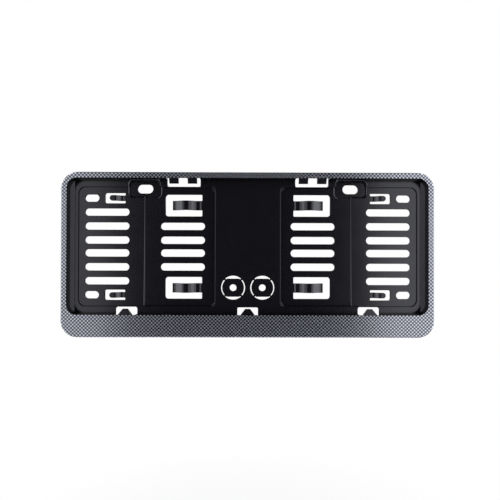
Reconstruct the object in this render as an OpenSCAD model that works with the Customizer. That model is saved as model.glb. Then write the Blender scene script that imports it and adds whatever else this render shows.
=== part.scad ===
// Holder for a short number plate, moulded in one piece.
// A raised rim frames a stepped, slotted floor. Spring tongues in the floor press the plate
// forward against teeth in the rim's upper wall and lugs in its lower wall.
// The modules work face up: x to the right, y up the plate, z forward from the mounting plane.

/* [Number plate] */
// Width of the number plate
plate_w = 305; // [300:1:310]
// Height of the number plate
plate_h = 114; // [112:1:118]
// Thickness of the number plate
plate_t = 1; // [0.6:0.1:1.4]
// Room left at each end of the plate
end_gap = 0.5; // [0.3:0.1:1.2]
// Room left above and below the plate
edge_gap = 1; // [0.5:0.1:1.6]

/* [Rim] */
// Height of the rim's face above the mounting plane
rim_depth = 14; // [13:0.5:17]
// Width of the rim's face at the top and the ends
rim_w = 4.9; // [4.4:0.1:6]
// Width of the wide strip below the plate
strip_w = 18.9; // [14:0.5:26]
// Thickness of the rim's walls and face
wall = 1.6; // [1.2:0.1:1.8]
// Radius of the outer corners
outer_r = 14; // [12:0.5:16]
// Radius of the corners of the plate opening
inner_r = 8.8; // [7:0.2:10]
// Rounding along the front outer edge
edge_r = 1.2; // [0.4:0.1:1.4]
// Thickness of the ribs behind the wide strip
rib_t = 1.2; // [0.8:0.1:1.6]

/* [Floor] */
// Thickness of the floor
floor_t = 2; // [1.6:0.1:2.4]
// Height of the ledge and the centre panel above the mounting plane
ledge_z = 5.2; // [5:0.1:5.4]
// Height of the outer parts of the floor
side_z = 3.9; // [3.6:0.1:4.2]
// Height of the two pockets beside the centre panel
pocket_z = 2.4; // [2.3:0.1:3]
// Width of the ledge inside the rim
ledge_w = 5.4; // [5:0.1:7]
// Width of the ramp from the ledge up to the rim's inner wall
ramp_w = 3.4; // [2:0.1:4]
// Height of that ramp
ramp_h = 1.4; // [0.8:0.1:1.4]
// Width of the centre panel
centre_w = 54.8; // [50:0.2:60]
// Distance from the middle to the step between a pocket and the outer floor
step_x = 90.3; // [88:0.1:92]
// Radius of the recess corners beside the rim
recess_outer_r = 7; // [5:0.5:9]
// Radius of the recess corners beside the centre panel
recess_inner_r = 4.4; // [3.4:0.2:6]
// Rounding along the upper edge of each step between floor levels
step_r = 1.4; // [0.8:0.1:1.6]
// Steepness of the steps
step_angle = 60; // [50:5:70]
// Extra material round the back of each recess
backing = 0.8; // [0.5:0.1:1.2]

/* [Slots] */
// Height of every adjustment slot
slot_h = 6.4; // [6:0.2:8]
// Distance from the middle of the plate to the first row of slots
first_row = 5.6; // [5:0.1:6]
// Distance from the rim's inner wall to the last row
row_margin = 16; // [15:0.1:17]
// Length of the long slots near the ends
side_slot_len = 38.6; // [34:0.2:40]
// Length of the short slots in the corners
corner_slot_len = 12.4; // [10:0.2:13]
// Distance from the recess to the ends of those slots
slot_margin = 6.2; // [5.4:0.1:8]
// Length of the slots in the pockets
pocket_slot_len = 38.5; // [34:0.5:40]
// Distance from the centre panel to the slots in the pockets
pocket_slot_margin = 10; // [8:0.1:11]

/* [Mounting slots] */
// Distance between the two mounting slots
bolt_spacing = 179; // [176:1:180]
// Length of a mounting slot
bolt_slot_len = 13.6; // [12:0.2:16]
// Height of a mounting slot
bolt_slot_h = 7.9; // [7:0.1:9]
// Distance from the rim's inner wall down to the mounting slots
bolt_drop = 7.7; // [7.4:0.1:8.4]
// Width of the boss recess round a mounting slot
boss_w = 29.5; // [27:0.5:31]
// Height of the boss recess
boss_h = 17; // [16.5:0.5:19]
// Radius of its corners
boss_r = 5; // [4:0.5:6]

/* [Spring tongues] */
// Thickness of the tongues
tongue_t = 1.2; // [0.9:0.1:1.4]
// Width of a large tongue
big_tongue_w = 8.2; // [6:0.1:9]
// Length of a large tongue
big_tongue_len = 25.8; // [24:0.2:28]
// Length of the window round a large tongue
big_window_len = 32; // [31:0.5:34]
// Height of that window
big_window_h = 19; // [17:0.2:20]
// Distance from the centre panel to that window
big_window_margin = 12.4; // [11:0.1:13]
// Radius of its outer corners
big_window_r = 2.6; // [1:0.2:3]
// Width of a small tongue
small_tongue_w = 4.8; // [3:0.1:5.4]
// Length of a small tongue
small_tongue_len = 13.3; // [12.6:0.1:14.5]
// Length of the window round a small tongue
small_window_len = 17.8; // [17:0.1:19]
// Height of that window
small_window_h = 9; // [8:0.1:10]
// Width of the bar between that window and the corner slot
small_window_bar = 5; // [4:0.1:6]
// Radius of its outer corners
small_window_r = 1.7; // [1:0.1:2.2]
// Radius of the windows' corners beside the roots
root_r = 0.9; // [0.5:0.1:1.5]

/* [Teeth and lugs] */
// Distance from the middle to the centre of each upper window
tooth_window_x = 55.4; // [52:0.2:56]
// Width of an upper window
tooth_window_w = 28.7; // [28:0.1:31]
// Height of an upper window below the rim
tooth_window_h = 6.3; // [5.4:0.1:6.8]
// Radius of its corners
tooth_window_r = 1.8; // [1:0.1:2.4]
// Distance between the two teeth in an upper window
tooth_spacing = 15.8; // [14:0.2:17]
// Width of a tooth
tooth_w = 8; // [6:0.1:8.4]
// Reach of a tooth over the plate
tooth_reach = 4; // [3:0.1:4.6]
// Distance from the middle to the outer lower windows
lug_x = 104.7; // [100:0.5:108]
// Width of the outer lower windows
lug_window_w = 18.8; // [17:0.1:19]
// Width of the middle lower window
mid_window_w = 17.8; // [16:0.1:19]
// Height of the lower windows above the rim
lug_window_h = 5.5; // [5:0.1:6.8]
// Width of a lug at the rim
lug_base_w = 11.4; // [9:0.2:13]
// Width of a lug at its tip
lug_tip_w = 4.2; // [3.6:0.1:6]
// Reach of a lug over the plate
lug_reach = 4.6; // [3:0.1:5]
// Radius of the lower windows' corners
lug_window_r = 1.3; // [0.8:0.1:2]
// Height of the catch faces above the mounting plane
catch_z = 7.7; // [7.5:0.1:8.2]
// Thickness of a tooth or lug at its tip
catch_tip_t = 1.2; // [0.8:0.1:1.6]
// Thickness of a tooth or lug where it joins the rim
catch_root_t = 3.2; // [2:0.1:3.4]

/* [Break-out discs] */
// Distance between the two discs
disc_spacing = 25.3; // [24:0.1:28]
// Distance from the rim's inner wall up to the discs
disc_rise = 22.5; // [21:0.5:25]
// Radius of the ring cut round a disc
ring_r = 10.4; // [10:0.1:11]
// Width of that ring beside the disc
ring_gap = 0.95; // [0.8:0.05:1.4]
// Distance from the centre of a disc to its flats
disc_flat = 7.8; // [7.2:0.1:8.4]
// Width of the thin bridges that hold a disc
bridge_w = 1.5; // [0.8:0.1:1.8]
// Radius of the hole in a disc
disc_hole_r = 2.95; // [2.5:0.05:4]

/* [Hidden] */
$fn = 48;
plastic = "#1b1b1e";
over = 1;
bite = 0.5;
root_steps = 6;
wave_steps = 32;
// Share of a climb that is rounded at its foot and as much at its top
slope_round = 0.22;

open_x = plate_w / 2 + end_gap;
open_y = plate_h / 2 + edge_gap;
outer_x = open_x + rim_w;
outer_top = open_y + rim_w;
outer_bottom = -open_y - strip_w;
face_back = rim_depth - wall;
ledge_back = ledge_z - floor_t;
hollow_top = outer_top - wall;

recess_x0 = centre_w / 2;
recess_x1 = open_x - ledge_w;
recess_y = open_y - ledge_w;
bolt_x = bolt_spacing / 2;
bolt_y = open_y - bolt_drop;
boss_z = floor_t;

row_pitch = (open_y - row_margin - first_row) / 3;
rows = [for (i = [0:3]) first_row + i * row_pitch];
slot_end_x = recess_x1 - slot_margin;
corner_slot_x = slot_end_x - corner_slot_len / 2;
side_slot_x = slot_end_x - side_slot_len / 2;
pocket_slot_x = recess_x0 + pocket_slot_margin + pocket_slot_len / 2;

big_window_x = recess_x0 + big_window_margin;
big_window_y = (rows[2] + rows[3]) / 2;
small_window_x = slot_end_x - corner_slot_len - small_window_bar - small_window_len;
small_window_y = rows[3];
crest_z = catch_z - plate_t;

// Where a tongue steps down from the floor at its root
root_start = 0.9;
root_end = 2.1;
// Where the large tongue climbs, is up, starts to fall and is down again
big_bow = [0.15, 0.45, 0.61, 0.9] * big_tongue_len;
// Where the small tongue climbs and is up
small_climb = [0.21, 0.56] * small_tongue_len;

rib_pitch = lug_x / 5;
rib_count = floor((outer_x - outer_r) / rib_pitch + 0.5);

// Where the corners' arcs of a rounded rectangle are centred, for a radius at each corner:
// lower left, lower right, upper right, upper left
function corner_centres(low, high, r) = [
    [low.x + r[0], low.y + r[0]],
    [high.x - r[1], low.y + r[1]],
    [high.x - r[2], high.y - r[2]],
    [low.x + r[3], high.y - r[3]]
];

// The same radius at all four corners
function same(r) = [r, r, r, r];

// A rectangle with its own radius at each corner
module rounded_2d(low, high, r) {
    centres = corner_centres(low, high, r);
    polygon([
        [centres[0].x, low.y], [centres[1].x, low.y],
        [high.x, centres[1].y], [high.x, centres[2].y],
        [centres[2].x, high.y], [centres[3].x, high.y],
        [low.x, centres[3].y], [low.x, centres[0].y]
    ]);
    for (i = [0:3]) translate(centres[i]) circle(r[i]);
}

// The rim's outer outline, drawn in by an inset
module outer_2d(inset = 0) {
    rounded_2d([-outer_x + inset, outer_bottom + inset], [outer_x - inset, outer_top - inset],
        same(outer_r - inset));
}

// The plate opening, drawn out by a margin
module opening_2d(grow = 0) {
    rounded_2d([-open_x - grow, -open_y - grow], [open_x + grow, open_y + grow],
        same(inner_r + grow));
}

module slot_2d(length, height) {
    square([length - height, height], center = true);
    for (side = [-1, 1]) translate([side * (length - height) / 2, 0]) circle(height / 2);
}

// Cuts a 2D shape through the floor
module through_floor() {
    translate([0, 0, -over]) linear_extrude(ledge_z + 2 * over) children();
}

// Places a shape in the right half and mirrored in the left half
module both_ends() {
    children();
    mirror([1, 0, 0]) children();
}

// Places a shape above and mirrored below the middle of the plate
module above_and_below() {
    children();
    mirror([0, 1, 0]) children();
}

// Sweeps a 2D profile round a rounded rectangle: its x runs outward, its y runs forward
module sweep_round(low, high, r) {
    centres = corner_centres(low, high, r);
    straights = [
        centres[3].y - centres[0].y, centres[1].x - centres[0].x,
        centres[2].y - centres[1].y, centres[2].x - centres[3].x
    ];
    for (i = [0:3]) translate(centres[i]) rotate([0, 0, 180 + 90 * i]) {
        rotate_extrude(angle = 90) translate([r[i], 0]) children();
        rotate([90, 0, 0]) linear_extrude(straights[i]) translate([r[i], 0]) children();
    }
}

// The air inside the rim and in front of the ledge, with the ramp left standing round its foot
module plate_space() {
    translate([0, 0, ledge_z]) {
        translate([0, 0, ramp_h]) linear_extrude(rim_depth) opening_2d();
        linear_extrude(rim_depth) opening_2d(-ramp_w);
        sweep_round([-open_x, -open_y], [open_x, open_y], same(inner_r)) polygon([
            [-ramp_w - bite, 0], [-ramp_w, 0], [0, ramp_h], [0, ramp_h + over],
            [-ramp_w - bite, ramp_h + over]
        ]);
    }
}

// What the rounding takes off the front outer edge
module edge_cutter() {
    translate([0, 0, rim_depth])
        sweep_round([-outer_x, outer_bottom], [outer_x, outer_top], same(outer_r)) difference() {
            translate([-edge_r, -edge_r]) square(edge_r + over);
            translate([-edge_r, -edge_r]) circle(edge_r);
        }
}

// The rim with the flat ledge across it, hollow behind its face
module rim_and_ledge() {
    difference() {
        linear_extrude(rim_depth) outer_2d();
        plate_space();
        translate([0, 0, -over]) linear_extrude(ledge_back + over) outer_2d(wall);
        difference() {
            translate([0, 0, -over]) linear_extrude(face_back + over) outer_2d(wall);
            translate([0, 0, -2 * over]) linear_extrude(rim_depth + 2 * over) opening_2d(wall);
        }
        edge_cutter();
    }
}

// Ribs that stiffen the wide strip from behind
module strip_ribs() {
    low_y = outer_bottom + wall - bite;
    high_y = -open_y - wall + bite;
    for (i = [0:rib_count - 1]) both_ends()
        translate([(i + 0.5) * rib_pitch - rib_t / 2, low_y, wall])
            cube([rib_t, high_y - low_y, face_back - wall + bite]);
}

// The back of one recess: the outer part of the floor and, deeper, the pocket
module recess_back() {
    outer = recess_outer_r + backing;
    inner = recess_inner_r + backing;
    low_y = -recess_y - backing;
    high_y = recess_y + backing;
    translate([0, 0, side_z - floor_t])
        linear_extrude(ledge_back - side_z + floor_t + bite)
            rounded_2d([recess_x0 - backing, low_y], [recess_x1 + backing, high_y],
                [inner, outer, outer, inner]);
    translate([0, 0, pocket_z - floor_t])
        linear_extrude(ledge_back - pocket_z + floor_t + bite)
            rounded_2d([recess_x0 - backing, low_y], [step_x, high_y], same(inner));
}

// The turn of a step's rounding: less than its full steepness where the step is very low
function step_turn(depth) = acos(max(cos(step_angle), 1 - depth / step_r));

// How far a step runs from its upper edge to its foot
function step_run(depth) =
    let (a = step_turn(depth))
    step_r * sin(a) + (depth - step_r * (1 - cos(a))) / tan(a);

// The air over a step down from y = 0, with its upper edge at x = 0
module step_air_2d(depth, rise) {
    a = step_turn(depth);
    run = step_run(depth);
    difference() {
        polygon([
            [-run - bite, -depth], [-run, -depth], [-step_r * sin(a), step_r * (cos(a) - 1)],
            [0, -step_r], [0, rise], [-run - bite, rise]
        ]);
        translate([0, -step_r]) circle(step_r);
    }
}

// A hollow with steps for sides, cut down from z = 0, and clear above that as far as rise
module stepped_hollow(low, high, r, depth, rise) {
    run = step_run(depth);
    translate([0, 0, -depth]) linear_extrude(depth + rise)
        rounded_2d([low.x + run, low.y + run], [high.x - run, high.y - run],
            [for (corner = r) corner - run]);
    sweep_round(low, high, r) step_air_2d(depth, rise);
}

// The outer part of the floor, seen along the plate, with its step down to the pocket
module side_floor_2d() {
    depth = side_z - pocket_z;
    a = step_turn(depth);
    polygon([
        [step_x - step_run(depth), pocket_z - over], [step_x - step_run(depth), pocket_z],
        [step_x - step_r * sin(a), side_z - step_r * (1 - cos(a))], [step_x, side_z],
        [recess_x1 + over, side_z], [recess_x1 + over, pocket_z - over]
    ]);
    translate([step_x, side_z - step_r]) circle(step_r);
}

module recess_hollow() {
    difference() {
        translate([0, 0, ledge_z])
            stepped_hollow([recess_x0, -recess_y], [recess_x1, recess_y],
                [recess_inner_r, recess_outer_r, recess_outer_r, recess_inner_r],
                ledge_z - pocket_z, over);
        rotate([90, 0, 0]) linear_extrude(2 * recess_y + 2 * over, center = true) side_floor_2d();
    }
}

// The pad that carries a mounting slot, down on the mounting plane
module boss_back() {
    intersection() {
        linear_extrude(ledge_back + bite)
            rounded_2d([bolt_x - boss_w / 2 - backing, bolt_y - boss_h / 2 - backing],
                [bolt_x + boss_w / 2 + backing, bolt_y + boss_h / 2 + backing],
                same(boss_r + backing));
        linear_extrude(rim_depth) opening_2d(wall);
    }
}

// The hollow over that pad, with its own rounded edge at each level of floor around it
module boss_hollow() {
    low = [bolt_x - boss_w / 2, bolt_y - boss_h / 2];
    high = [bolt_x + boss_w / 2, bolt_y + boss_h / 2];
    levels = [
        [ledge_z, [low.x - over, low.y - over], [high.x + over, open_y]],
        [side_z, [step_x, low.y - over], [high.x + over, recess_y]],
        [pocket_z, [low.x - over, low.y - over], [step_x - step_r, recess_y]]
    ];
    for (level = levels) intersection() {
        translate([0, 0, level[0]])
            stepped_hollow(low, high, same(boss_r), level[0] - boss_z,
                ledge_z - level[0] + ramp_h + over);
        translate([level[1].x, level[1].y, 0])
            cube([level[2].x - level[1].x, level[2].y - level[1].y, rim_depth]);
        linear_extrude(rim_depth) opening_2d();
    }
}

// Every slot in the right half
module slots() {
    translate([bolt_x, bolt_y]) slot_2d(bolt_slot_len, bolt_slot_h);
    above_and_below() {
        for (i = [0:2]) translate([side_slot_x, rows[i]]) slot_2d(side_slot_len, slot_h);
        translate([corner_slot_x, rows[3]]) slot_2d(corner_slot_len, slot_h);
        for (i = [0:1]) translate([pocket_slot_x, rows[i]]) slot_2d(pocket_slot_len, slot_h);
    }
}

// A window round a tongue, with tighter corners beside the root
module tongue_window_2d(length, height, r) {
    rounded_2d([0, -height / 2], [length, height / 2], [root_r, r, r, root_r]);
}

module tongue_windows() {
    above_and_below() {
        translate([big_window_x, big_window_y])
            tongue_window_2d(big_window_len, big_window_h, big_window_r);
        translate([small_window_x, small_window_y])
            tongue_window_2d(small_window_len, small_window_h, small_window_r);
    }
}

// Goes smoothly from 0 at a to 1 at b
function ease(s, a, b) = let (u = (s - a) / (b - a), k = slope_round)
    u <= 0 ? 0 : u >= 1 ? 1 : u < k ? u * u / (2 * k * (1 - k)) :
    u > 1 - k ? 1 - (1 - u) * (1 - u) / (2 * k * (1 - k)) : (u - k / 2) / (1 - k);

// A tongue from its root at x = 0: it steps down to its own thickness, climbs from a to b and,
// where c and d are on it, falls again from c to d
module tongue(length, width, floor_z, a, b, c, d) {
    back = floor_z - floor_t;
    rise = crest_z - tongue_t - back;
    root = [for (i = [0:root_steps]) root_start + i * (root_end - root_start) / root_steps];
    blade = [for (i = [1:wave_steps]) root_end + i * (length - root_end) / wave_steps];
    steps = concat(root, blade);
    last = len(steps) - 1;
    under = [for (s = steps) back + rise * (ease(s, a, b) - ease(s, c, d))];
    thick = [for (s = steps) floor_t - (floor_t - tongue_t) * ease(s, root_start, root_end)];
    rotate([90, 0, 0]) linear_extrude(width, center = true) polygon(concat(
        [[-bite, back]],
        [for (i = [0:last]) [steps[i], under[i]]],
        [for (i = [last:-1:0]) [steps[i], under[i] + thick[i]]],
        [[-bite, floor_z]]
    ));
}

// The large tongue is a bow with a short level crest and a short level tip
module big_tongue() {
    tongue(big_tongue_len, big_tongue_w, pocket_z, big_bow[0], big_bow[1], big_bow[2], big_bow[3]);
}

// The small tongue climbs once and ends in a level, rounded tip
module small_tongue() {
    tip = small_tongue_w / 2;
    beyond = small_tongue_len + over;
    intersection() {
        tongue(small_tongue_len, small_tongue_w, side_z, small_climb[0], small_climb[1],
            beyond, beyond + over);
        linear_extrude(rim_depth) {
            translate([-over, -small_tongue_w])
                square([small_tongue_len - tip + over, 2 * small_tongue_w]);
            translate([small_tongue_len - tip, 0]) circle(tip);
        }
    }
}

module tongues() {
    above_and_below() {
        translate([big_window_x, big_window_y, 0]) big_tongue();
        translate([small_window_x, small_window_y, 0]) small_tongue();
    }
}

// The windows through ledge and wall that the teeth and lugs were moulded through
module catch_windows() {
    tooth_low = tooth_window_x - tooth_window_w / 2;
    translate([0, 0, -over]) linear_extrude(face_back + over) {
        rounded_2d([tooth_low, open_y - tooth_window_h], [tooth_low + tooth_window_w, open_y],
            same(tooth_window_r));
        translate([tooth_low, open_y - tooth_window_h / 2])
            square([tooth_window_w, hollow_top - open_y + tooth_window_h / 2]);
        lug_window_2d(0, mid_window_w);
        lug_window_2d(lug_x, lug_window_w);
    }
}

module lug_window_2d(x, width) {
    translate([x - width / 2, -open_y]) {
        rounded_2d([0, 0], [width, lug_window_h], same(lug_window_r));
        translate([0, -wall - bite]) square([width, wall + bite + lug_window_h / 2]);
    }
}

// A catch on its piece of wall, reaching along +y from y = 0, with a sloping front to snap over
module catch_profile(width, reach) {
    rotate([90, 0, 90]) linear_extrude(width, center = true) polygon([
        [-wall, catch_z], [reach, catch_z], [reach, catch_z + catch_tip_t],
        [0, catch_z + catch_root_t], [0, face_back + bite], [-wall, face_back + bite]
    ]);
}

module tooth() {
    catch_profile(tooth_w, tooth_reach);
}

module lug() {
    intersection() {
        catch_profile(lug_base_w, lug_reach);
        linear_extrude(rim_depth) polygon([
            [-lug_base_w / 2, -wall], [lug_base_w / 2, -wall], [lug_base_w / 2, 0],
            [lug_tip_w / 2, lug_reach], [-lug_tip_w / 2, lug_reach], [-lug_base_w / 2, 0]
        ]);
    }
}

module teeth_and_lugs() {
    both_ends() {
        for (side = [-1, 1])
            translate([tooth_window_x + side * tooth_spacing / 2, open_y, 0])
                mirror([0, 1, 0]) tooth();
        translate([lug_x, -open_y, 0]) lug();
    }
    translate([0, -open_y, 0]) lug();
}

// The cuts round one break-out disc, which four thin bridges hold in the floor
module disc_cuts_2d() {
    difference() {
        circle(ring_r);
        intersection() {
            circle(ring_r - ring_gap);
            square([2 * ring_r, 2 * disc_flat], center = true);
        }
        for (a = [45, 135]) rotate(a) square([3 * ring_r, bridge_w], center = true);
    }
    circle(disc_hole_r);
}

module plate_holder() {
    color(plastic) translate([0, 0, -bolt_y]) rotate([90, 0, 0]) {
        difference() {
            union() {
                rim_and_ledge();
                strip_ribs();
                both_ends() {
                    recess_back();
                    boss_back();
                }
            }
            both_ends() {
                recess_hollow();
                boss_hollow();
                catch_windows();
                through_floor() {
                    slots();
                    tongue_windows();
                    translate([disc_spacing / 2, disc_rise - open_y]) disc_cuts_2d();
                }
            }
        }
        both_ends() tongues();
        teeth_and_lugs();
    }
}

plate_holder();
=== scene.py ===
"""Looks of the number plate holder: satin black moulded plastic with a carbon-look print on the rim."""

from collections import namedtuple
import math

import bmesh
import bpy
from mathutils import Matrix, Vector


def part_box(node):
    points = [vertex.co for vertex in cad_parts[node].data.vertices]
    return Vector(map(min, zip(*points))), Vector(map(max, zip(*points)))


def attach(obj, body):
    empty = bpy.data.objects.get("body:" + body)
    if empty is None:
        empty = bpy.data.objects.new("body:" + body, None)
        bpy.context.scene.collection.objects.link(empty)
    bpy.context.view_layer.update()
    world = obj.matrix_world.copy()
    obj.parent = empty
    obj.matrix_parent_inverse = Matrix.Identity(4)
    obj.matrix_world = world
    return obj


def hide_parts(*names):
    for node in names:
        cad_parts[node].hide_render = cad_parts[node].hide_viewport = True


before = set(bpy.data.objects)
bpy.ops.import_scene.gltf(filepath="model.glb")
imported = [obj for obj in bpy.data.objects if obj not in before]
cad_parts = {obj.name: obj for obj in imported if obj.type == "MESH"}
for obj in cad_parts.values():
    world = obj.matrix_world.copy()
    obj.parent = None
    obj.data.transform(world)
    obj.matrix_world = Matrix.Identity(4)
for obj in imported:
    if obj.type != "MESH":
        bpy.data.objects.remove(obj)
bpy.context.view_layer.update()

MM = 0.001
HOLDER = "plate_holder"

# Where the photograph was taken from: nearly square on and level, a third of a metre in front of the rim's
# face, where the picture is VIEW_WIDTH wide
CAMERA_DISTANCE = 345 * MM
CAMERA_RIGHT = 0.7 * MM
CAMERA_BELOW_MIDDLE = 8.0 * MM
VIEW_WIDTH = 421.9 * MM
SENSOR_WIDTH = 36.0
CAMERA_ROLL = math.radians(-0.15)
CAMERA_YAW = math.radians(-0.2)
CAMERA_PITCH = math.radians(0.4)
CAMERA_SHIFT_UP = 0.0063
CAMERA_CLIP_START = 10 * MM

# The plate opening's middle lies this far below the row's origin, midway between the upper slots
MIDDLE_Z = -50.3 * MM

# The print covers what faces forward within this depth of the rim's front. Its cells are this large, and go
# from dark to light between these two heights of the waves that draw them.
PRINT_DEPTH = 0.9 * MM
PRINT_FACING = 0.6
CELL_WIDTH = 1.54 * MM
CELL_HEIGHT = 1.50 * MM
CELL_EDGE = (0.01, 0.30)
PRINT_DARK = (0.005, 0.005, 0.007)
PRINT_LIGHT = (0.68, 0.70, 0.745)
PRINT_SHINE = 1.5
PRINT_ROUGHNESS = 0.19
PRINT_METAL = 0.77

# The plastic: two close blacks in soft clouds, a roughness that varies a little, and a fine grain
PLASTIC_BLACKS = ((0.0045, 0.0044, 0.0060), (0.0060, 0.0058, 0.0080))
CLOUD_SCALE = 40.0
CLOUD_DETAIL = 3.0
PLASTIC_ROUGHNESS = (0.16, 0.18)
STREAK_RANGE = (0.3, 0.7)
STREAK_SCALE = 60.0
GRAIN_SCALE = 2600.0
FINE_DETAIL = 2.0
GRAIN_STRENGTH = 0.06
GRAIN_DEPTH = 0.02 * MM

# Its shine on steep faces and on those that look forward or back, and between which facings it changes
PLASTIC_SHINE = (0.10, 0.8)
SHINE_FACING = (0.5, 0.72)

# Tall glowing walls left and right of a dark gap behind the camera, and a brighter part beside the holder:
# name, distance to the side, where it begins in front, where it ends behind, height, radiance
WALLS = [
    ("left_wall", -3.0, -8.5, 0.6, 11.0, 0.86),
    ("left_near", -1.2, -1.3, 0.4, 3.0, 1.35),
    ("right_wall", 1.1, -3.26, 0.4, 4.4, 1.22),
    ("right_near", 1.0, -1.1, 0.35, 3.0, 1.12),
]
LAMP_COLOUR = (0.90, 0.91, 1.0)

# A lamp behind the holder for the back views: name, place, width, height, radiance
REAR_FILL = ("rear_fill", (0.3, 1.1, 0.5), 1.2, 0.8, 1.2)

# The plain background, and the dim room that lights and is mirrored
WHITE = (1.0, 1.0, 1.0, 1.0)
ROOM_COLOUR = (0.9, 0.92, 1.0, 1.0)
ROOM_STRENGTH = 0.03

# The floor. The camera sees this share of it as plain white, rising with the distance from the row's origin,
# and its shadows in the rest.
FLOOR_HALF = 1.5
FLOOR_FRONT = -0.35
FLOOR_DROP = 0.30
FLOOR_GREY = (0.85, 0.85, 0.85, 1.0)
FLOOR_WHITE_SHARE = (0.8, 1.0)
FLOOR_WHITE_RANGE = (0.42, 0.6)

# The solid has a low ramp round its ledge, at the foot of the rim's wall. In the photograph it shows only at
# the two ends, so it begins at this distance to the side there. The parts above and below the opening, past
# this height from its middle, sink to the ledge's level.
LEDGE_HEIGHT = 5.2 * MM
RAMP_HEIGHT = 1.4 * MM
RAMP_WIDTH = 3.4 * MM
RAMP_SLOPE = RAMP_HEIGHT / RAMP_WIDTH
RAMP_FROM_X = 149.6 * MM
RAMP_PAST_MIDDLE = 49.2 * MM

# The steps down from these levels are rounded with this radius, up to this slope. The photograph shows
# sharper edges, so the rounding keeps only the share STEP_KEEP of its size, and the steps down from the ledge
# keep the share RUN_KEEP of their run. The two bosses stay as they are. The rounding goes down by
# ROUNDING_DEPTH, and reaches back by ROUNDING_REACH from the corner of its flats.
STEP_LEVELS = (LEDGE_HEIGHT, 3.9 * MM)
STEP_RADIUS = 1.4 * MM
STEP_SLOPE = math.radians(60)
STEP_KEEP = 0.25
RUN_KEEP = 0.5
ROUNDING_DEPTH = STEP_RADIUS * (1 - math.cos(STEP_SLOPE))
ROUNDING_REACH = STEP_RADIUS * math.tan(STEP_SLOPE / 2)
BOSS_X = (76 * MM, 106 * MM)
BOSS_ABOVE_MIDDLE = 40 * MM

# The tongues: distance of the root to the side, length, height of the middle line, half width, and the bow
# of the solid and of the photograph. A bow has its rise and where it climbs and falls, from the root. The
# small tongues only climb: NO_FALL lies far past their tips.
Bow = namedtuple("Bow", "rise climb_start climb_end fall_start fall_end")
Tongue = namedtuple("Tongue", "root length middle half_width solid shown")
NO_FALL = (1.0, 1.1)
TONGUES = [
    Tongue(39.8 * MM, 25.8 * MM, 35.93 * MM, 4.3 * MM,
           Bow(5.1 * MM, 3.87 * MM, 11.61 * MM, 15.74 * MM, 23.22 * MM),
           Bow(3.1 * MM, 3.6 * MM, 13.2 * MM, 15.0 * MM, 24.8 * MM)),
    Tongue(106.2 * MM, 13.3 * MM, 42.0 * MM, 2.6 * MM,
           Bow(3.6 * MM, 2.793 * MM, 7.448 * MM, *NO_FALL),
           Bow(2.5 * MM, 2.9 * MM, 9.0 * MM, *NO_FALL)),
]
SOLID_EASE = 0.22
SLICE = 0.7 * MM

# The tongues' windows and what is near them, which the steps' change leaves out
TONGUE_ZONES = ((35 * MM, 85 * MM), (98 * MM, 140 * MM))
TONGUE_ZONE_HALF = 46 * MM

# How close measures have to be when parts of the solid are looked for, cut and merged, and from what tilt on
# a face belongs to a step
NEAR = 0.01 * MM
TIP_SPARE = 0.1 * MM
LEVEL_SPARE = 0.05 * MM
FACING_SPARE = 0.01
TILT_SPARE = math.radians(0.5)
LEAST_TILT = math.radians(1)
CUT_DISTANCE = 0.001 * MM
MERGE_DISTANCE = 0.0005 * MM

# A face whose normal lies less along one axis than this is shaded smooth, and an edge that turns by
# SHARP_TURN stays sharp
ALONG_AXIS = 0.9999
SHARP_TURN = math.radians(28)

holder_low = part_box(HOLDER)[0]
FRONT_Y = holder_low.y


def put_in_scene(name, data):
    """A new object in the scene."""
    item = bpy.data.objects.new(name, data)
    bpy.context.scene.collection.objects.link(item)
    return item


def node_tree(name):
    """A new material and its emptied node tree."""
    material = bpy.data.materials.new(name)
    material.use_nodes = True
    material.node_tree.nodes.clear()
    return material, material.node_tree


def add(tree, kind, **inputs):
    """A shader node with some of its inputs set by name."""
    node = tree.nodes.new("ShaderNode" + kind)
    for name, value in inputs.items():
        node.inputs[name.replace("_", " ")].default_value = value
    return node


def feed(tree, value, socket):
    """Links a socket to an input, or sets the input to a plain value."""
    if isinstance(value, bpy.types.NodeSocket):
        tree.links.new(value, socket)
    else:
        socket.default_value = value


def math_node(tree, operation, *values, clamp=False):
    """The result of one math operation on sockets or plain numbers."""
    node = tree.nodes.new("ShaderNodeMath")
    node.operation = operation
    node.use_clamp = clamp
    for value, socket in zip(values, node.inputs):
        feed(tree, value, socket)
    return node.outputs[0]


def noise(tree, where, scale, detail):
    """Noise in the object's own space, about 0 to 1."""
    node = add(tree, "TexNoise", Scale=scale, Detail=detail)
    tree.links.new(where, node.inputs["Vector"])
    return node.outputs["Fac"]


def ramp(tree, value, span, out_span):
    """Maps a socket from one range to another, clamped."""
    node = add(tree, "MapRange", From_Min=span[0], From_Max=span[1], To_Min=out_span[0], To_Max=out_span[1])
    tree.links.new(value, node.inputs["Value"])
    return node.outputs["Result"]


def mix(tree, share, first, second, data_type="FLOAT", socket_type="VALUE"):
    """A blend of two numbers, or of two values of another type, each a socket or a plain value."""
    node = tree.nodes.new("ShaderNodeMix")
    node.data_type = data_type
    tree.links.new(share, node.inputs["Factor"])
    for name, value in (("A", first), ("B", second)):
        feed(tree, value, next(s for s in node.inputs if s.name == name and s.type == socket_type))
    return next(s for s in node.outputs if s.type == socket_type)


def mix_colour(tree, share, first, second):
    """A blend of two colours, each a socket or a plain colour."""
    colours = []
    for value in (first, second):
        colours.append(value if isinstance(value, bpy.types.NodeSocket) else (*value, 1.0))
    return mix(tree, share, *colours, data_type="RGBA", socket_type="RGBA")


def blend_to_output(tree, output, share, first, second):
    """Ends a tree with a blend of two shaders."""
    blend = add(tree, "MixShader")
    tree.links.new(share, blend.inputs[0])
    tree.links.new(first.outputs[0], blend.inputs[1])
    tree.links.new(second.outputs[0], blend.inputs[2])
    tree.links.new(blend.outputs[0], add(tree, output).inputs["Surface"])


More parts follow.
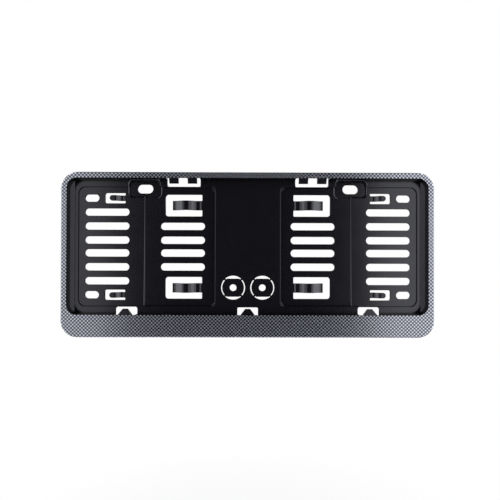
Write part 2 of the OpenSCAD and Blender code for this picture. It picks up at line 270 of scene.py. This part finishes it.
def print_mask(tree, y, normal_y):
    """1 on the rim's printed face, 0 on every other surface."""
    near_front = math_node(tree, "LESS_THAN", y, FRONT_Y + PRINT_DEPTH)
    facing = math_node(tree, "LESS_THAN", normal_y, -PRINT_FACING)
    return math_node(tree, "MULTIPLY", near_front, facing)


def weave(tree, x, z):
    """The print's staggered light cells, 1 in the middle of a light cell and 0 in a dark one."""
    across = math_node(tree, "SINE", math_node(tree, "MULTIPLY", x, math.pi / CELL_WIDTH))
    up = math_node(tree, "SINE", math_node(tree, "MULTIPLY", z, math.pi / CELL_HEIGHT))
    return ramp(tree, math_node(tree, "MULTIPLY", across, up), CELL_EDGE, (0.0, 1.0))


def holder_material():
    """Satin black plastic, with the carbon-look print where the rim faces forward."""
    material, tree = node_tree("satin_black_with_weave_print")
    where = add(tree, "TexCoord").outputs["Object"]
    axes = add(tree, "SeparateXYZ")
    tree.links.new(where, axes.inputs[0])
    x, y, z = axes.outputs
    normal = add(tree, "SeparateXYZ")
    tree.links.new(add(tree, "NewGeometry").outputs["Normal"], normal.inputs[0])
    mask = print_mask(tree, y, normal.outputs["Y"])
    light = weave(tree, x, z)

    plastic = mix_colour(tree, noise(tree, where, CLOUD_SCALE, CLOUD_DETAIL), *PLASTIC_BLACKS)
    printed = mix_colour(tree, light, PRINT_DARK, PRINT_LIGHT)
    colour = mix_colour(tree, mask, plastic, printed)

    facing = math_node(tree, "ABSOLUTE", normal.outputs["Y"])
    plastic_shine = ramp(tree, facing, SHINE_FACING, PLASTIC_SHINE)
    shine = mix(tree, mask, plastic_shine, PRINT_SHINE)
    streaks = noise(tree, where, STREAK_SCALE, FINE_DETAIL)
    plastic_rough = ramp(tree, streaks, STREAK_RANGE, PLASTIC_ROUGHNESS)
    rough = mix(tree, mask, plastic_rough, PRINT_ROUGHNESS)
    metal = math_node(tree, "MULTIPLY", mask, math_node(tree, "MULTIPLY", light, PRINT_METAL))

    grain = noise(tree, where, GRAIN_SCALE, FINE_DETAIL)
    bump = add(tree, "Bump", Strength=GRAIN_STRENGTH, Distance=GRAIN_DEPTH)
    tree.links.new(grain, bump.inputs["Height"])

    shader = add(tree, "BsdfPrincipled")
    tree.links.new(shine, shader.inputs["Specular IOR Level"])
    tree.links.new(colour, shader.inputs["Base Color"])
    tree.links.new(rough, shader.inputs["Roughness"])
    tree.links.new(metal, shader.inputs["Metallic"])
    tree.links.new(bump.outputs["Normal"], shader.inputs["Normal"])
    tree.links.new(shader.outputs[0], add(tree, "OutputMaterial").inputs["Surface"])
    return material


def share_between(value, start, end):
    """How far a value lies from start to end, 0 to 1."""
    return min(max((value - start) / (end - start), 0.0), 1.0)


def solid_ease(value, start, end):
    """The solid's own climb from 0 at start to 1 at end: rounded ends and a straight middle."""
    share = share_between(value, start, end)
    if share < SOLID_EASE:
        return share * share / (2 * SOLID_EASE * (1 - SOLID_EASE))
    if share > 1 - SOLID_EASE:
        return 1 - (1 - share) ** 2 / (2 * SOLID_EASE * (1 - SOLID_EASE))
    return (share - SOLID_EASE / 2) / (1 - SOLID_EASE)


def soft_ease(value, start, end):
    """A climb from 0 at start to 1 at end with no straight part."""
    return (1 - math.cos(math.pi * share_between(value, start, end))) / 2


def bow_height(bow, along, ease):
    """How far a bow stands up at a distance from the tongue's root."""
    climb = ease(along, bow.climb_start, bow.climb_end)
    return bow.rise * (climb - ease(along, bow.fall_start, bow.fall_end))


def on_tongue(tongue, x, up, root_spare=0.0):
    """Whether a point x to the side and up from the opening's middle belongs to a tongue."""
    along = tongue.root - root_spare < x < tongue.root + tongue.length + TIP_SPARE
    return along and abs(abs(up) - tongue.middle) < tongue.half_width


def in_tongue_zone(x, up):
    """Whether a point x to the side and up from the opening's middle is in or near a tongue's window."""
    return abs(up) < TONGUE_ZONE_HALF and any(low < x < high for low, high in TONGUE_ZONES)


def parts_of(faces):
    """The faces with their corners and edges, each once and in a fixed order."""
    corners = dict.fromkeys(vertex for face in faces for vertex in face.verts)
    edges = dict.fromkeys(edge for face in faces for edge in face.edges)
    return [*corners, *edges, *faces]


def cut_across(mesh, parts, x):
    """Cuts parts of the mesh with an upright plane across it, and returns what they became."""
    made = bmesh.ops.bisect_plane(mesh, geom=parts, dist=CUT_DISTANCE,
                                  plane_co=(x, 0, 0), plane_no=(1, 0, 0))
    return made["geom"]


def slice_tongues(mesh):
    """Cuts the tongues' long flat faces across, so that they can bend."""
    for side in (-1, 1):
        for tongue in TONGUES:
            faces = []
            for face in mesh.faces:
                corners = [(side * vertex.co.x, vertex.co.z - MIDDLE_Z) for vertex in face.verts]
                if all(on_tongue(tongue, x, up, root_spare=NEAR) for x, up in corners):
                    faces.append(face)
            parts = parts_of(faces)
            for cut in range(1, int(tongue.length / SLICE) + 1):
                parts = cut_across(mesh, parts, side * (tongue.root + cut * SLICE))


def bow_tongues(mesh):
    """Gives the tongues the photograph's gentler bow."""
    for vertex in mesh.verts:
        x, up = abs(vertex.co.x), vertex.co.z - MIDDLE_Z
        for tongue in TONGUES:
            if on_tongue(tongue, x, up):
                along = x - tongue.root
                was = bow_height(tongue.solid, along, solid_ease)
                vertex.co.y -= bow_height(tongue.shown, along, soft_ease) - was


def straighten_ramp(mesh):
    """Runs the ramp straight on through the corners at the two ends, and lays it level elsewhere."""
    facing = math.cos(math.atan(RAMP_SLOPE))
    found = []
    for face in mesh.faces:
        past_middle = abs(face.calc_center_median().z - MIDDLE_Z) > RAMP_PAST_MIDDLE
        low = all(-vertex.co.y < LEDGE_HEIGHT + RAMP_HEIGHT + NEAR for vertex in face.verts)
        if past_middle and low and abs(-face.normal.y - facing) < FACING_SPARE:
            found.append(face)
    for side in (-1, 1):
        parts = cut_across(mesh, parts_of(found), side * RAMP_FROM_X)
        found = [part for part in parts if isinstance(part, bmesh.types.BMFace)]
    for vertex in dict.fromkeys(vertex for face in found for vertex in face.verts):
        height = max(abs(vertex.co.x) - RAMP_FROM_X, 0.0) * RAMP_SLOPE
        if -vertex.co.y > LEDGE_HEIGHT - NEAR:
            vertex.co.y = -LEDGE_HEIGHT - min(height, -vertex.co.y - LEDGE_HEIGHT + NEAR)


def step_level(face):
    """The level that a step's rounding or slope goes down from, or None for any other face."""
    tilt = math.acos(min(max(-face.normal.y, -1.0), 1.0))
    if not LEAST_TILT < tilt < STEP_SLOPE + TILT_SPARE:
        return None
    heights = [-vertex.co.y for vertex in face.verts]
    top = max(heights)
    for level in STEP_LEVELS:
        if tilt > STEP_SLOPE - TILT_SPARE:
            fits = abs(level - ROUNDING_DEPTH - top) < LEVEL_SPARE
        else:
            fits = top < level + NEAR and min(heights) > level - ROUNDING_DEPTH - NEAR
        if fits:
            return level
    return None


def downhill_moves(mesh):
    """For each corner of the steps to change, the level above it and the sum of its faces' ways down."""
    moves = {}
    for face in mesh.faces:
        middle = face.calc_center_median()
        x, up = abs(middle.x), middle.z - MIDDLE_Z
        in_boss = BOSS_X[0] < x < BOSS_X[1] and up > BOSS_ABOVE_MIDDLE
        level = step_level(face)
        if level is None or in_boss or in_tongue_zone(x, up):
            continue
        downhill = Vector((face.normal.x, 0.0, face.normal.z)).normalized()
        for vertex in face.verts:
            moves.setdefault(vertex, [level, Vector()])[1] += downhill
    return moves


def sharpen_steps(mesh):
    """Tightens the rounding at the top of each step, and steepens the steps down from the ledge."""
    for vertex, (level, total) in downhill_moves(mesh).items():
        drop = max(level + vertex.co.y, 0.0)
        downhill = total.normalized()
        if drop < ROUNDING_DEPTH + NEAR:
            run = STEP_RADIUS * math.sin(math.acos(1 - min(drop, ROUNDING_DEPTH) / STEP_RADIUS))
            vertex.co += downhill * (1 - STEP_KEEP) * (ROUNDING_REACH - run)
            vertex.co.y -= (1 - STEP_KEEP) * drop
            drop *= STEP_KEEP
        if level == LEDGE_HEIGHT:
            vertex.co -= downhill * (1 - RUN_KEEP) * drop / math.tan(STEP_SLOPE)


def shade_curves(mesh):
    """Smooth shading on curved and sloping faces, with sharp edges between them where they turn by much."""
    for face in mesh.faces:
        face.smooth = max(abs(part) for part in face.normal) < ALONG_AXIS
    for edge in mesh.edges:
        edge.smooth = len(edge.link_faces) == 2 and edge.calc_face_angle(0.0) < SHARP_TURN


def make_holder():
    """The piece that stands for the solid: a copy with the finer forms of the photograph, in its finish."""
    mesh = bmesh.new()
    mesh.from_mesh(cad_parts[HOLDER].data)
    bmesh.ops.remove_doubles(mesh, verts=mesh.verts, dist=MERGE_DISTANCE)
    mesh.normal_update()
    sharpen_steps(mesh)
    straighten_ramp(mesh)
    slice_tongues(mesh)
    bow_tongues(mesh)
    bmesh.ops.dissolve_degenerate(mesh, dist=CUT_DISTANCE, edges=mesh.edges)
    mesh.normal_update()
    shade_curves(mesh)
    data = bpy.data.meshes.new("holder_moulding")
    mesh.to_mesh(data)
    mesh.free()
    piece = put_in_scene("holder_moulding", data)
    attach(piece, "root")
    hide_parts(HOLDER)
    piece.data.materials.append(holder_material())


def place_camera():
    """The photograph's viewpoint."""
    optics = bpy.data.cameras.new("camera")
    optics.sensor_width = SENSOR_WIDTH
    optics.lens = SENSOR_WIDTH * CAMERA_DISTANCE / VIEW_WIDTH
    optics.shift_y = CAMERA_SHIFT_UP
    optics.clip_start = CAMERA_CLIP_START
    camera = put_in_scene("camera", optics)
    camera.location = (CAMERA_RIGHT, FRONT_Y - CAMERA_DISTANCE, MIDDLE_Z - CAMERA_BELOW_MIDDLE)
    camera.rotation_euler = (math.pi / 2 + CAMERA_PITCH, CAMERA_ROLL, CAMERA_YAW)
    bpy.context.scene.camera = camera


def softbox(name, place, width, height, radiance, aim):
    """A rectangular lamp that faces aim and isn't seen by the camera."""
    lamp = bpy.data.lights.new(name, "AREA")
    lamp.shape = "RECTANGLE"
    lamp.color = LAMP_COLOUR
    lamp.size = width
    lamp.size_y = height
    lamp.energy = radiance * width * height * math.pi
    box = put_in_scene(name, lamp)
    box.location = place
    direction = Vector(aim) - Vector(place)
    box.rotation_euler = direction.to_track_quat("-Z", "Y").to_euler()
    box.visible_camera = False


def light_room():
    """The glowing walls of a light tent, and the lamp behind."""
    for name, x, front, back, height, radiance in WALLS:
        middle = (front + back) / 2
        softbox(name, (x, middle, MIDDLE_Z), back - front, height, radiance, (0, middle, MIDDLE_Z))
    softbox(*REAR_FILL, (0, 0, MIDDLE_Z))


def seen_directly(tree):
    """1 for camera and glass rays, which see the plain white background, and 0 for all others.

    Glossy rays are left out, since they would turn the black plastic grey all over.
    """
    path = add(tree, "LightPath")
    camera = path.outputs["Is Camera Ray"]
    glass = path.outputs["Is Transmission Ray"]
    return math_node(tree, "ADD", camera, glass, clamp=True)


def light_world():
    """White to camera and glass rays, and a dim even grey to all others."""
    world = bpy.data.worlds.new("studio")
    bpy.context.scene.world = world
    world.use_nodes = True
    tree = world.node_tree
    tree.nodes.clear()
    dim = add(tree, "Background", Color=ROOM_COLOUR, Strength=ROOM_STRENGTH)
    white = add(tree, "Background", Color=WHITE, Strength=1.0)
    blend_to_output(tree, "OutputWorld", seen_directly(tree), dim, white)


def floor_material():
    """Matt pale grey, shown mostly as plain white near the holder, and wholly so far from it."""
    material, tree = node_tree("pale_floor")
    distance = tree.nodes.new("ShaderNodeVectorMath")
    distance.operation = "LENGTH"
    tree.links.new(add(tree, "TexCoord").outputs["Object"], distance.inputs[0])
    white_share = ramp(tree, distance.outputs["Value"], FLOOR_WHITE_RANGE, FLOOR_WHITE_SHARE)
    share = math_node(tree, "MULTIPLY", seen_directly(tree), white_share)
    matt = add(tree, "BsdfDiffuse", Color=FLOOR_GREY)
    glow = add(tree, "Emission", Color=WHITE, Strength=1.0)
    blend_to_output(tree, "OutputMaterial", share, matt, glow)
    return material


def lay_floor():
    """A pale floor well below the holder, which keeps a faint shadow."""
    level = holder_low.z - FLOOR_DROP
    mesh = bpy.data.meshes.new("floor")
    corners = [(-FLOOR_HALF, FLOOR_FRONT, level), (FLOOR_HALF, FLOOR_FRONT, level),
               (FLOOR_HALF, FLOOR_HALF, level), (-FLOOR_HALF, FLOOR_HALF, level)]
    mesh.from_pydata(corners, [], [(0, 1, 2, 3)])
    floor = put_in_scene("floor", mesh)
    floor.data.materials.append(floor_material())


place_camera()
light_world()
light_room()
lay_floor()
make_holder()

bpy.context.scene.view_settings.view_transform = "Standard"
